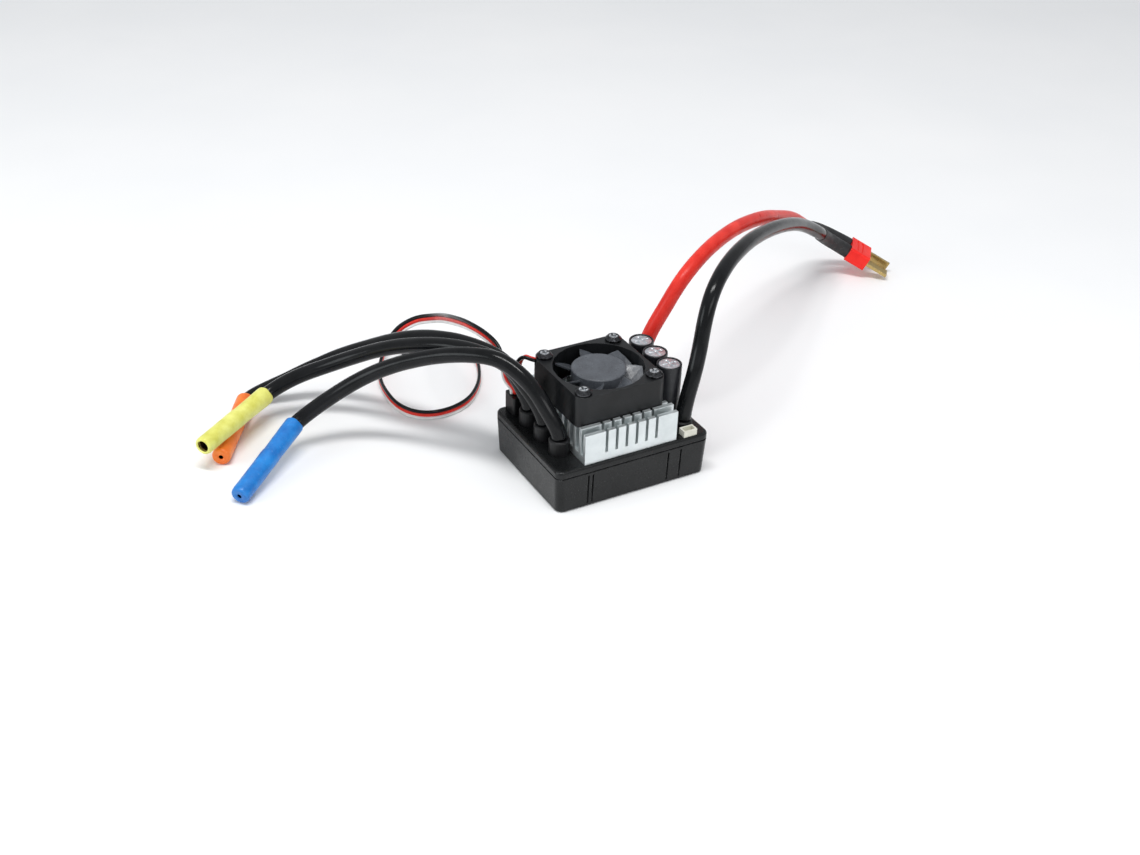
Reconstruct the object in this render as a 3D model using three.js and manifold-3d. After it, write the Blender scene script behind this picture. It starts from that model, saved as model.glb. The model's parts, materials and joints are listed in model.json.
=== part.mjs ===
// Brushless electronic speed controller with a cooling fan, as an assembly of separate pieces.
// Millimetres, +Z up. The origin is the centre of the case's underside, +X runs along the case's
// long side towards the battery leads, and -Y is the side of the program port.
import * as THREE from "three";
import { mergeVertices } from "three/addons/utils/BufferGeometryUtils.js";
import Module from "manifold-3d";

const wasm = await Module();
wasm.setup();

// ---------------------------------------------------------------- driving dimensions

// Case
const motorEnd = 9.2;
const batteryEnd = 2.9;
const frontMargin = 0.85;
const backMargin = 2.05;
const caseCorner = 2.4;
const caseDraft = 0.5;
const caseWall = 1.6;
const baseHeight = 12.0;
const lidHeight = 2.5;
const lidPlate = 1.3;
const lidEdgeRound = 0.7;
const sealThickness = 0.4;
const sealInset = 0.25;
const latchGroove = 0.35;
const latchGrooveWidth = 0.6;
const latchPositions = [-16.2, -14.7, 11.4, 15.8];

// Heat sink
const sinkOverhang = 1.6;
const outerFinGap = 1.35;
const sinkPlate = 2.5;
const finTop = 24.5;
const guardFinTop = 25.5;
const finThickness = 1.3;
const screwFinOffset = 0.6;
const innerFinCount = 8;
const slotPitch = 3.42;
const slotWidth = 0.95;
const slotCount = 6;
const kerfFloor = 0.2;
const pedestalHeight = 1.9;

// Fan
const fanSize = 30;
const fanDepth = 10;
const fanOffset = -0.9;
const fanWall = 1.0;
const fanHoleEdge = 3.0;
const fanCorner = 3.0;
const hubDiameter = 16.7;
const bladeCount = 7;
const bladeTipClearance = 0.5;
const shaftDiameter = 1.6;
const fanScrewShank = 2.2;
const fanScrewHead = 5.2;
const fanScrewHeadHeight = 1.5;
const fanScrewReach = 4.5;

// Electronics
const boardThickness = 1.2;
const mosfetSize = [6.0, 5.0];
const padThickness = 0.6;

// Capacitors
const capDiameter = 7.8;
const capTop = 33.0;
const capHeight = 20;
const capSleeve = 0.25;
const capLip = 0.9;
const capGap = 0.35;
const capCount = 3;
const capRowCentreY = 1.95;
const capToSink = 0.9;
const capLeadDiameter = 0.6;
const capLeadSpacing = 3.5;

// Leads
const wireDiameter = 4.8;
const glandDiameter = 6.4;
const glandHeight = 4.8;
const motorGlandInset = 6.0;
const motorGlandY = [-9.9, -0.5, 9.0];
const batteryGlandInset = [5.0, 3.8];
const batteryGlandToCap = [0.15, 0.35];
const batteryGlandDiameter = 5.7;
const batteryGlandHeight = 1.8;
const sleeveDiameter = 5.8;
const sleeveLength = 32;
const sleeveBore = 14;
const bulletDiameter = 4.5;
const bulletBore = 3.6;
const bulletRecess = 0.8;
const leadDiameter = 2.5;
const fanLeadDiameter = 1.1;
const receiverGland = { length: 4.4, width: 6.1, height: 6.0, fromEnd: 3.1, fromBack: 0.7 };

// Battery plug
const plugWidth = 11.6;
const plugThickness = 5.8;
const plugLength = 8.6;
const bladeLength = 9.0;
const bladeWidth = 4.2;
const bladeThickness = 1.2;
const contactSpacing = 6.0;
const shrinkDiameter = 5.3;
const shrinkLength = 27;

// Receiver plug
const receiverPlugSize = [14.0, 7.7, 2.6];

// Program port
const portSize = [4.6, 2.9, 2.1];
const portInset = [6.7, 2.0];

// Clearances
const seat = 0.05;
const gap = 0.3;

// ---------------------------------------------------------------- derived places

const seamZ = baseHeight;
const lidTop = baseHeight + lidHeight;
const sinkLength = fanSize + sinkOverhang;
const sinkWidth = fanSize + 2 * (gap + 2 * finThickness + outerFinGap);
const caseLength = motorEnd + sinkLength + capToSink + capDiameter + batteryEnd;
const caseWidth = frontMargin + sinkWidth + backMargin;
const sinkCentreX = -caseLength / 2 + motorEnd + sinkLength / 2;
const sinkCentreY = -caseWidth / 2 + frontMargin + sinkWidth / 2;
const sinkTop = lidTop + sinkPlate;
const fanX = sinkCentreX + fanOffset;
const fanY = sinkCentreY;
const fanBottom = finTop + seat;
const fanTop = fanBottom + fanDepth;
const fanHoleSpacing = fanSize - 2 * fanHoleEdge;
const finPitch = (fanHoleSpacing / 2 + screwFinOffset) / ((innerFinCount - 1) / 2);
const boreRadius = fanSize / 2 - fanWall;
const capX = sinkCentreX + sinkLength / 2 + capToSink + capDiameter / 2;
const capPitch = capDiameter + capGap;
const capRowHalf = ((capCount - 1) * capPitch + capDiameter) / 2;
const glandTop = lidTop + glandHeight;
const wireRadius = wireDiameter / 2;
const motorGlands = motorGlandY.map((y) => [-caseLength / 2 + motorGlandInset, y]);
const batteryGlands = [-1, 1].map((side, i) => {
  const reach = capRowHalf + batteryGlandToCap[i] + batteryGlandDiameter / 2;
  return [caseLength / 2 - batteryGlandInset[i], capRowCentreY + side * reach];
});
const receiverCentre = [
  -caseLength / 2 + receiverGland.fromEnd + receiverGland.length / 2,
  caseWidth / 2 - receiverGland.fromBack - receiverGland.width / 2,
];
const portCentre = [caseLength / 2 - portInset[0], -caseWidth / 2 + portInset[1]];

// ---------------------------------------------------------------- materials

function finish(color, roughness, metalness = 0) {
  return new THREE.MeshStandardMaterial({ color, roughness, metalness });
}

const materials = {
  casePlastic: finish(0x17181a, 0.55),
  fanPlastic: finish(0x1d1e20, 0.5),
  rotorPlastic: finish(0x5a5f66, 0.55),
  sinkAluminium: finish(0xd5dcda, 0.4, 0.9),
  board: finish(0x1c4a34, 0.6),
  chip: finish(0x202022, 0.5),
  thermalPad: finish(0x8fa3b5, 0.8),
  steel: finish(0xb8bcc0, 0.3, 1),
  copper: finish(0xb87333, 0.35, 1),
  brass: finish(0xc9a14a, 0.3, 1),
  blackSteel: finish(0x141416, 0.35, 0.6),
  blackSilicone: finish(0x141516, 0.45),
  redSilicone: finish(0xd8332c, 0.45),
  blueSleeve: finish(0x2581d6, 0.45),
  orangeSleeve: finish(0xf5812d, 0.45),
  yellowSleeve: finish(0xe3e27a, 0.45),
  redNylon: finish(0xe0241c, 0.4),
  canAluminium: finish(0xc9ccd0, 0.35, 0.9),
  canSleeve: finish(0x18191b, 0.4),
  sealRubber: finish(0x0e0e0f, 0.8),
  creamNylon: finish(0xe8e6d6, 0.5),
};

// ---------------------------------------------------------------- shape helpers

// A closed geometry as a solid that can be joined and cut.
function solid(geometry) {
  const bare = geometry.clone();
  bare.deleteAttribute("normal");
  bare.deleteAttribute("uv");
  const merged = mergeVertices(bare, 1e-4);
  const mesh = new wasm.Mesh({
    numProp: 3,
    vertProperties: merged.attributes.position.array,
    triVerts: new Uint32Array(merged.index.array),
  });
  return new wasm.Manifold(mesh);
}

// A solid back as a geometry.
function geometryOf(body) {
  const mesh = body.getMesh();
  const geometry = new THREE.BufferGeometry();
  const positions = new THREE.BufferAttribute(mesh.vertProperties, 3);
  geometry.setAttribute("position", positions);
  geometry.setIndex(new THREE.BufferAttribute(mesh.triVerts, 1));
  const faceted = geometry.toNonIndexed();
  faceted.computeVertexNormals();
  return faceted;
}

function join(geometries) {
  return geometries.map(solid).reduce((whole, piece) => whole.add(piece));
}

function cut(body, geometries) {
  return geometries.map(solid).reduce((rest, piece) => rest.subtract(piece), body);
}

// A rectangle with round corners, centred on the origin.
function roundedRectangle(width, depth, radius) {
  const x = width / 2;
  const y = depth / 2;
  const r = Math.min(radius, x, y);
  const shape = new THREE.Shape();
  shape.moveTo(-x + r, -y);
  shape.lineTo(x - r, -y);
  shape.absarc(x - r, -y + r, r, -Math.PI / 2, 0);
  shape.lineTo(x, y - r);
  shape.absarc(x - r, y - r, r, 0, Math.PI / 2);
  shape.lineTo(-x + r, y);
  shape.absarc(-x + r, y - r, r, Math.PI / 2, Math.PI);
  shape.lineTo(-x, -y + r);
  shape.absarc(-x + r, -y + r, r, Math.PI, 1.5 * Math.PI);
  return shape;
}

// A shape in X and Y raised from z0 to z1.
function prism(shape, z0, z1, curveSegments = 5) {
  const options = { depth: z1 - z0, bevelEnabled: false, curveSegments };
  return new THREE.ExtrudeGeometry(shape, options).translate(0, 0, z0);
}

function box(x0, x1, y0, y1, z0, z1) {
  const geometry = new THREE.BoxGeometry(x1 - x0, y1 - y0, z1 - z0);
  return geometry.translate((x0 + x1) / 2, (y0 + y1) / 2, (z0 + z1) / 2);
}

function boxAt([x, y], [length, width, height], z0) {
  return box(x - length / 2, x + length / 2, y - width / 2, y + width / 2, z0, z0 + height);
}

// An upright cylinder.
function post(radius, z0, z1, x = 0, y = 0, sides = 24) {
  const geometry = new THREE.CylinderGeometry(radius, radius, z1 - z0, sides);
  return geometry.rotateX(Math.PI / 2).translate(x, y, (z0 + z1) / 2);
}

// A turned solid about the Z axis from a closed profile of [radius, z] points.
function turned(profile, x = 0, y = 0, sides = 32) {
  const points = profile.map(([r, z]) => new THREE.Vector2(r, z));
  return new THREE.LatheGeometry(points, sides).rotateX(Math.PI / 2).translate(x, y, 0);
}

// A rounded block whose sides lean in towards the bottom, lofted from stacked outlines.
function lofted(levels) {
  const rings = levels.map(({ width, depth, radius, z }) => {
    const outline = roundedRectangle(width, depth, radius).extractPoints(4).shape;
    return outline.slice(0, -1).map((p) => new THREE.Vector3(p.x, p.y, z));
  });
  const count = rings[0].length;
  const positions = rings.flat().flatMap((p) => [p.x, p.y, p.z]);
  const index = [];
  for (let level = 0; level < rings.length - 1; level += 1) {
    for (let i = 0; i < count; i += 1) {
      const next = (i + 1) % count;
      const a = level * count + i;
      const b = level * count + next;
      index.push(a, b, b + count, a, b + count, a + count);
    }
  }
  const top = (rings.length - 1) * count;
  for (let i = 1; i < count - 1; i += 1) {
    index.push(0, i + 1, i);
    index.push(top, top + i, top + i + 1);
  }
  const geometry = new THREE.BufferGeometry();
  geometry.setAttribute("position", new THREE.Float32BufferAttribute(positions, 3));
  geometry.setIndex(index);
  return geometry.toNonIndexed();
}

// A round cord along a smooth curve through the points.
function cord(points, diameter, steps, sides = 8) {
  const path = new THREE.CatmullRomCurve3(points.map((p) => new THREE.Vector3(...p)));
  const section = new THREE.Shape();
  const radius = diameter / 2;
  for (let i = 0; i < sides; i += 1) {
    const angle = (2 * Math.PI * i) / sides;
    const corner = [radius * Math.cos(angle), radius * Math.sin(angle)];
    if (i === 0) section.moveTo(...corner);
    else section.lineTo(...corner);
  }
  section.closePath();
  return new THREE.ExtrudeGeometry(section, { steps, extrudePath: path, bevelEnabled: false });
}

const device = new THREE.Group();

// Adds a named piece to the device, or to a group of it.
function piece(name, shape, material, parent = device) {
  const geometry = shape.isBufferGeometry ? shape : geometryOf(shape);
  const mesh = new THREE.Mesh(geometry, material);
  mesh.name = name;
  parent.add(mesh);
  return mesh;
}

// A group whose local +Z runs from one point towards another, its local X kept level.
function aimed(from, to) {
  const start = new THREE.Vector3(...from);
  const forward = new THREE.Vector3(...to).sub(start).normalize();
  const level = new THREE.Vector3(0, 0, 1).cross(forward).normalize();
  const upward = forward.clone().cross(level);
  const group = new THREE.Group();
  group.quaternion.setFromRotationMatrix(new THREE.Matrix4().makeBasis(level, upward, forward));
  group.position.copy(start);
  device.add(group);
  return group;
}

// ---------------------------------------------------------------- case

const innerLength = caseLength - 2 * (caseWall + caseDraft);
const innerWidth = caseWidth - 2 * (caseWall + caseDraft);
const boardPosts = [1, -1].flatMap((sx) => [1, -1].map((sy) => [sx * 20.4, sy * 14.6]));
const controlPosts = [1, -1].flatMap((sx) => [1, -1].map((sy) => [sx * 15.5, sy * 10.5]));
const postRadius = 1.5;
const controlBoardZ = 4.4;
const powerBoardZ = 9.4;

function baseShell() {
  const foot = 0.5;
  const length = caseLength - 2 * caseDraft;
  const width = caseWidth - 2 * caseDraft;
  const outer = lofted([
    { width: length - 2 * foot, depth: width - 2 * foot, radius: caseCorner - foot, z: 0 },
    { width: length, depth: width, radius: caseCorner, z: foot },
    { width: caseLength, depth: caseWidth, radius: caseCorner, z: seamZ },
  ]);
  const inner = roundedRectangle(innerLength, innerWidth, caseCorner - caseWall);
  const hollow = prism(inner, caseWall, seamZ + 1);
  const grooves = latchPositions.map((x) => {
    const front = -caseWidth / 2;
    const depth = caseDraft + latchGroove;
    return box(x, x + latchGrooveWidth, front - 1, front + depth, 1.2, seamZ - 0.8);
  });
  const shell = cut(solid(outer), [hollow, ...grooves]);
  const sunk = 0.3;
  const tall = boardPosts.map(([x, y]) => post(postRadius, caseWall - sunk, powerBoardZ - seat, x, y, 12));
  const low = controlPosts.map(([x, y]) => {
    return post(postRadius, caseWall - sunk, controlBoardZ - seat, x, y, 12);
  });
  return shell.add(join([...tall, ...low]));
}
piece("base_shell", baseShell(), materials.casePlastic);

const sealOuter = [caseLength - 2 * sealInset, caseWidth - 2 * sealInset];
const sealInner = [innerLength, innerWidth];

function caseSeal() {
  const ring = roundedRectangle(...sealOuter, caseCorner - sealInset);
  ring.holes.push(roundedRectangle(...sealInner, caseCorner - caseWall));
  return prism(ring, seamZ + seat, seamZ + sealThickness);
}
piece("case_seal", caseSeal(), materials.sealRubber);

const lidBottom = seamZ + sealThickness + seat;
const lipDepth = 1.2;
const pedestal = { length: sinkLength - 7, width: sinkWidth - 12 };
const pedestalBottom = lidTop - pedestalHeight;
const capCentres = Array.from({ length: capCount }, (_, i) => {
  return [capX, capRowCentreY + (i - (capCount - 1) / 2) * capPitch];
});

// The hole that the receiver lead takes through the lid and into its gland.
function receiverPassage(z0, z1) {
  const [x, y] = receiverCentre;
  const [length, width] = [receiverGland.length - 2.4, receiverGland.width - 4.2];
  return box(x - length / 2, x + length / 2, y - 0.9 - width / 2, y - 0.9 + width / 2, z0, z1);
}

function lid() {
  const r = lidEdgeRound;
  const outer = lofted([
    { width: caseLength, depth: caseWidth, radius: caseCorner, z: lidBottom },
    { width: caseLength, depth: caseWidth, radius: caseCorner, z: lidTop - r },
    { width: caseLength - 0.6 * r, depth: caseWidth - 0.6 * r, radius: caseCorner, z: lidTop - 0.3 * r },
    { width: caseLength - 2 * r, depth: caseWidth - 2 * r, radius: caseCorner - 0.4 * r, z: lidTop },
  ]);
  const lipLength = innerLength - 2 * gap;
  const lipWidth = innerWidth - 2 * gap;
  const lipWall = 1.1;
  const lip = prism(roundedRectangle(lipLength, lipWidth, 1), lidBottom - lipDepth, lidTop - 1);
  const hollowShape = roundedRectangle(lipLength - 2 * lipWall, lipWidth - 2 * lipWall, 0.8);
  const hollow = prism(hollowShape, lidBottom - lipDepth - 1, lidTop - lidPlate);
  const through = [lidBottom - 2, lidTop + 1];
  const [windowX, windowY] = [pedestal.length / 2 + gap, pedestal.width / 2 + gap];
  const window = box(
    sinkCentreX - windowX, sinkCentreX + windowX,
    sinkCentreY - windowY, sinkCentreY + windowY, ...through,
  );
  const slotRadius = capDiameter / 2 + gap;
  const slotHalf = capRowHalf + gap;
  const capSlot = prism(roundedRectangle(2 * slotRadius, 2 * slotHalf, slotRadius), ...through)
    .translate(capX, capRowCentreY, 0);
  // Beside the capacitors the lip is left out.
  const lipBreak = box(
    capX, caseLength / 2, capRowCentreY - slotHalf, capRowCentreY + slotHalf,
    lidBottom - lipDepth - 1, lidBottom + 0.1,
  );
  const motorHoles = motorGlands.map(([x, y]) => post(wireRadius - 0.2, ...through, x, y, 12));
  const receiverHole = receiverPassage(...through);
  const holes = [...motorHoles, receiverHole];
  return cut(join([outer, lip]), [hollow, window, capSlot, lipBreak, ...holes]);
}
piece("lid", lid(), materials.casePlastic);

// ---------------------------------------------------------------- boards and what is on them

const powerBoardTop = powerBoardZ + boardThickness;
const controlBoardTop = controlBoardZ + boardThickness;
const powerBoardSize = [innerLength - 1.0, innerWidth - 1.0, boardThickness];
const controlBoardSize = [36, 26, boardThickness];
piece("power_board", boxAt([0, 0], powerBoardSize, powerBoardZ), materials.board);
piece("control_board", boxAt([0, 0], controlBoardSize, controlBoardZ), materials.board);

const linkSize = [18, 2.5, powerBoardZ - controlBoardTop - 2 * seat];
piece("board_link", boxAt([0, 10.5], linkSize, controlBoardTop + seat), materials.chip);
piece("microcontroller", boxAt([-8, -2], [7, 7, 1], controlBoardTop + seat), materials.chip);
piece("bec_regulator", boxAt([9, -3], [10, 8.5, 2.4], controlBoardTop + seat), materials.chip);

const padTop = pedestalBottom - seat;
const mosfetTop = padTop - padThickness - seat;
const mosfetColumns = 3;
const mosfetPitch = [8.5, 13];
for (let i = 0; i < 2 * mosfetColumns; i += 1) {
  const column = i % mosfetColumns;
  const row = Math.floor(i / mosfetColumns);
  const x = sinkCentreX + (column - (mosfetColumns - 1) / 2) * mosfetPitch[0];
  const y = sinkCentreY + (row - 0.5) * mosfetPitch[1];
  const height = mosfetTop - powerBoardTop - seat;
  const size = [mosfetSize[0], mosfetSize[1], height];
  piece(`mosfet_${i + 1}`, boxAt([x, y], size, powerBoardTop + seat), materials.chip);
}

const padSize = [pedestal.length - 1, pedestal.width - 2, padThickness];
const thermalPad = boxAt([sinkCentreX, sinkCentreY], padSize, padTop - padThickness);
piece("thermal_pad", thermalPad, materials.thermalPad);

// ---------------------------------------------------------------- heat sink

const screwPlaces = [[-1, -1], [1, -1], [1, 1], [-1, 1]].map(([sx, sy]) => {
  return [fanX + (sx * fanHoleSpacing) / 2, fanY + (sy * fanHoleSpacing) / 2];
});

// The section of plate and fins in Y and Z, from the fins' places and tops.
function sinkSection(fins) {
  const half = sinkWidth / 2;
  const shape = new THREE.Shape();
  shape.moveTo(-half, lidTop + seat);
  shape.lineTo(half, lidTop + seat);
  fins.sort((a, b) => b.y - a.y).forEach(({ y, top }, i) => {
    if (i > 0) shape.lineTo(y + finThickness / 2, sinkTop);
    shape.lineTo(y + finThickness / 2, top);
    shape.lineTo(y - finThickness / 2, top);
    if (i < fins.length - 1) shape.lineTo(y - finThickness / 2, sinkTop);
  });
  return shape;
}

function heatSink() {
  const outerFinY = (sinkWidth - finThickness) / 2;
  const guardFinY = fanSize / 2 + gap + finThickness / 2;
  const fins = [-1, 1].flatMap((side) => [
    { y: side * outerFinY, top: finTop },
    { y: side * guardFinY, top: guardFinTop },
  ]);
  for (let i = 0; i < innerFinCount; i += 1) {
    fins.push({ y: (i - (innerFinCount - 1) / 2) * finPitch, top: finTop });
  }
  const options = { depth: sinkLength, bevelEnabled: false };
  const [alongX, alongY, alongZ] = [[1, 0, 0], [0, 1, 0], [0, 0, 1]].map((axis) => {
    return new THREE.Vector3(...axis);
  });
  const extrusion = new THREE.ExtrudeGeometry(sinkSection(fins), options)
    .applyMatrix4(new THREE.Matrix4().makeBasis(alongY, alongZ, alongX))
    .translate(sinkCentreX - sinkLength / 2, sinkCentreY, 0);
  const foot = [pedestal.length, pedestal.width, pedestalHeight + sinkPlate / 2];
  const pedestalBlock = boxAt([sinkCentreX, sinkCentreY], foot, pedestalBottom);
  const cuts = [];
  for (let i = 0; i < slotCount; i += 1) {
    const x = sinkCentreX + (i - (slotCount - 1) / 2) * slotPitch;
    const size = [slotWidth, sinkWidth + 2, guardFinTop - sinkTop];
    cuts.push(boxAt([x, sinkCentreY], size, sinkTop + kerfFloor));
  }
  const holeBottom = finTop - fanScrewReach - gap;
  for (const [x, y] of screwPlaces) {
    cuts.push(post(fanScrewShank / 2 + gap, holeBottom, guardFinTop + 1, x, y, 8));
  }
  return cut(join([extrusion, pedestalBlock]), cuts);
}
piece("heat_sink", heatSink(), materials.sinkAluminium);

// ---------------------------------------------------------------- fan

const motorCupRadius = 8.0;
const motorCupFloor = 1.0;
const fanArmCount = 4;
const fanArmWidth = 1.6;

function fanFrame() {
  const outline = roundedRectangle(fanSize, fanSize, fanCorner);
  const bore = new THREE.Path();
  bore.absarc(0, 0, boreRadius, 0, 2 * Math.PI);
  outline.holes.push(bore);
  const ring = prism(outline, fanBottom, fanTop, 12).translate(fanX, fanY, 0);
  const parts = [ring, post(motorCupRadius, fanBottom, fanBottom + motorCupFloor, fanX, fanY, 32)];
  for (let i = 0; i < fanArmCount; i += 1) {
    const angle = Math.PI / 4 + (2 * Math.PI * i) / fanArmCount;
    const arm = box(
      motorCupRadius - 1, boreRadius + 0.6, -fanArmWidth / 2, fanArmWidth / 2,
      fanBottom, fanBottom + motorCupFloor,
    );
    parts.push(arm.rotateZ(angle).translate(fanX, fanY, 0));
  }
  const holes = screwPlaces.map(([x, y]) => {
    return post(fanScrewShank / 2 + gap, fanBottom - 1, fanTop + 1, x, y, 16);
  });
  const leadNotch = box(
    fanX - fanSize / 2 - 1, fanX - fanSize / 2 + 1.2,
    fanY + fanSize / 2 - 3.4, fanY + fanSize / 2 - 0.2, fanTop - 2.4, fanTop + 1,
  );
  return cut(join(parts), [...holes, leadNotch]);
}
piece("fan_frame", fanFrame(), materials.fanPlastic);

const cupTop = fanBottom + motorCupFloor;
const bearingRadius = 1.9;
const bearingHeight = 5.0;
const bearingClearance = 0.08;
const circuitThickness = 0.6;
const statorRadius = 5.9;
const magnetOuter = hubDiameter / 2 - 0.7;
const magnetThickness = 1.1;
const rotorTop = fanTop - 0.35;
const rotorBottom = cupTop + gap;
const bearingBottom = cupTop + seat;
const bearingTop = bearingBottom + bearingHeight;

const bearingWall = [[shaftDiameter / 2 + bearingClearance, 0], [bearingRadius, bearingHeight]];
function ringProfile([[inner, low], [outer, high]], z) {
  return [[inner, z + low], [outer, z + low], [outer, z + high], [inner, z + high], [inner, z + low]];
}
const bearing = turned(ringProfile(bearingWall, bearingBottom), fanX, fanY, 16);
piece("fan_bearing", bearing, materials.brass);

const circuitRing = [[bearingRadius + 0.3, 0], [statorRadius + 0.8, circuitThickness]];
const circuit = turned(ringProfile(circuitRing, cupTop + seat), fanX, fanY, 24);
piece("fan_circuit", circuit, materials.board);

function fanStator() {
  const z0 = cupTop + circuitThickness + 3 * seat;
  const poles = 4;
  const core = new THREE.Shape();
  core.absarc(0, 0, bearingRadius + 1.4, 0, 2 * Math.PI);
  const hole = new THREE.Path();
  hole.absarc(0, 0, bearingRadius + 0.3, 0, 2 * Math.PI);
  core.holes.push(hole);
  const parts = [prism(core, z0, z0 + 3.6, 10)];
  for (let i = 0; i < poles; i += 1) {
    const angle = (2 * Math.PI * i) / poles;
    parts.push(box(bearingRadius + 1.0, statorRadius - 0.6, -0.9, 0.9, z0 + 0.4, z0 + 3.2).rotateZ(angle));
    parts.push(box(statorRadius - 1.2, statorRadius - 0.4, -2.6, 2.6, z0 + 0.4, z0 + 3.2).rotateZ(angle));
  }
  return join(parts).translate([fanX, fanY, 0]);
}
piece("fan_stator", fanStator(), materials.copper);

// The rotor turns about its own Z axis: its pieces share one group at the fan's centre.
const rotor = new THREE.Group();
rotor.position.set(fanX, fanY, 0);
device.add(rotor);

function fanRotor() {
  const outer = hubDiameter / 2;
  const wall = 0.6;
  const crown = 0.8;
  const cap = turned([
    [0, rotorTop - crown], [outer - wall, rotorTop - crown], [outer - wall, rotorBottom],
    [outer, rotorBottom], [outer, rotorTop - 0.3], [outer - 0.3, rotorTop], [0, rotorTop],
  ], 0, 0, 40);
  const tip = boreRadius - bladeTipClearance;
  const parts = [solid(cap)];
  for (let i = 0; i < bladeCount; i += 1) {
    parts.push(solid(fanBlade(outer - 0.35, tip, (2 * Math.PI * i) / bladeCount)));
  }
  return parts.reduce((whole, part) => whole.add(part));
}

// One curved blade: it sweeps round and climbs from the low trailing edge to the high leading edge.
function fanBlade(inner, outer, start) {
  const radialSteps = 3;
  const sweepSteps = 4;
  const span = 0.82;
  const lean = 0.22;
  const low = rotorBottom + 1.2;
  const high = rotorTop - 0.9;
  const thickness = 0.75;
  const positions = [];
  for (const side of [0, 1]) {
    for (let i = 0; i <= radialSteps; i += 1) {
      const r = inner + ((outer - inner) * i) / radialSteps;
      for (let j = 0; j <= sweepSteps; j += 1) {
        const t = j / sweepSteps;
        const angle = start + span * t - (lean * (r - inner)) / (outer - inner);
        const z = low + (high - low) * t ** 0.85 - side * thickness;
        positions.push(r * Math.cos(angle), r * Math.sin(angle), z);
      }
    }
  }
  const columns = sweepSteps + 1;
  const layer = (radialSteps + 1) * columns;
  const at = (side, i, j) => side * layer + i * columns + j;
  const index = [];
  const quad = (a, b, c, d) => index.push(a, b, c, a, c, d);
  for (let i = 0; i < radialSteps; i += 1) {
    for (let j = 0; j < sweepSteps; j += 1) {
      quad(at(0, i, j), at(0, i + 1, j), at(0, i + 1, j + 1), at(0, i, j + 1));
      quad(at(1, i, j), at(1, i, j + 1), at(1, i + 1, j + 1), at(1, i + 1, j));
    }
    quad(at(1, i, 0), at(1, i + 1, 0), at(0, i + 1, 0), at(0, i, 0));
    quad(at(0, i, sweepSteps), at(0, i + 1, sweepSteps), at(1, i + 1, sweepSteps), at(1, i, sweepSteps));
  }
  for (let j = 0; j < sweepSteps; j += 1) {
    quad(at(0, 0, j), at(0, 0, j + 1), at(1, 0, j + 1), at(1, 0, j));
    const tip = radialSteps;
    quad(at(1, tip, j), at(1, tip, j + 1), at(0, tip, j + 1), at(0, tip, j));
  }
  const geometry = new THREE.BufferGeometry();
  geometry.setAttribute("position", new THREE.Float32BufferAttribute(positions, 3));
  geometry.setIndex(index);
  return geometry.toNonIndexed();
}
piece("fan_rotor", fanRotor(), materials.rotorPlastic, rotor);

const magnetRing = [[magnetOuter - magnetThickness, 0], [magnetOuter - 0.2, 4.6]];
const magnet = turned(ringProfile(magnetRing, rotorBottom + 0.6), 0, 0, 24);
piece("rotor_magnet", magnet, materials.chip, rotor);

const shaftTop = rotorTop - 0.8 - seat;
piece("fan_shaft", post(shaftDiameter / 2, cupTop + 2 * seat, shaftTop, 0, 0, 12), materials.steel, rotor);

function fanScrew([x, y]) {
  const head = turned([
    [0, fanTop + seat], [fanScrewHead / 2, fanTop + seat], [fanScrewHead / 2, fanTop + 0.7],
    [fanScrewHead / 2 - 0.8, fanTop + fanScrewHeadHeight], [0, fanTop + fanScrewHeadHeight],
  ], x, y, 20);
  const shank = post(fanScrewShank / 2, finTop - fanScrewReach, fanTop + 0.4, x, y, 10);
  const recess = [0, 1].map((turn) => {
    const bar = box(-1.4, 1.4, -0.35, 0.35, fanTop + fanScrewHeadHeight - 0.8, fanTop + 3);
    return bar.rotateZ((turn * Math.PI) / 2).translate(x, y, 0);
  });
  return cut(join([head, shank]), recess);
}
screwPlaces.forEach((place, i) => {
  piece(`fan_screw_${i + 1}`, fanScrew(place), materials.blackSteel);
});

// ---------------------------------------------------------------- capacitors

capCentres.forEach(([x, y], i) => {
  const bottom = capTop - capHeight;
  const sleeveInner = capDiameter / 2 - capSleeve;
  const canRadius = sleeveInner - gap;
  const can = post(canRadius, bottom, capTop - capSleeve - 0.15, x, y, 24);
  const leads = [-1, 1].map((side) => {
    const leadY = y + (side * capLeadSpacing) / 2;
    return post(capLeadDiameter / 2, powerBoardTop + seat, bottom + 0.5, x, leadY, 8);
  });
  piece(`capacitor_can_${i + 1}`, join([can, ...leads]), materials.canAluminium);
  const sleeve = turned([
    [sleeveInner, bottom], [capDiameter / 2, bottom], [capDiameter / 2, capTop - 0.35],
    [capDiameter / 2 - 0.3, capTop], [sleeveInner - capLip, capTop], [sleeveInner - capLip, capTop - 0.1],
    [sleeveInner, capTop - 0.1], [sleeveInner, bottom],
  ], x, y, 24);
  piece(`capacitor_sleeve_${i + 1}`, sleeve, materials.canSleeve);
});

// ---------------------------------------------------------------- glands and program port

function gland([x, y], diameter, height) {
  const r = diameter / 2;
  const top = lidTop + height;
  return turned([
    [0, lidTop + seat], [r, lidTop + seat], [r, top - 0.4], [r - 0.4, top], [0, top],
  ], x, y, 24);
}
motorGlands.forEach((place, i) => {
  const bore = post(wireRadius - 0.2, lidTop - 1, glandTop - 1.2, ...place, 12);
  const shape = cut(solid(gland(place, glandDiameter, glandHeight)), [bore]);
  piece(`motor_gland_${i + 1}`, shape, materials.casePlastic);
});
["negative", "positive"].forEach((pole, i) => {
  const shape = gland(batteryGlands[i], batteryGlandDiameter, batteryGlandHeight);
  piece(`battery_gland_${pole}`, shape, materials.blackSilicone);
});

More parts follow.
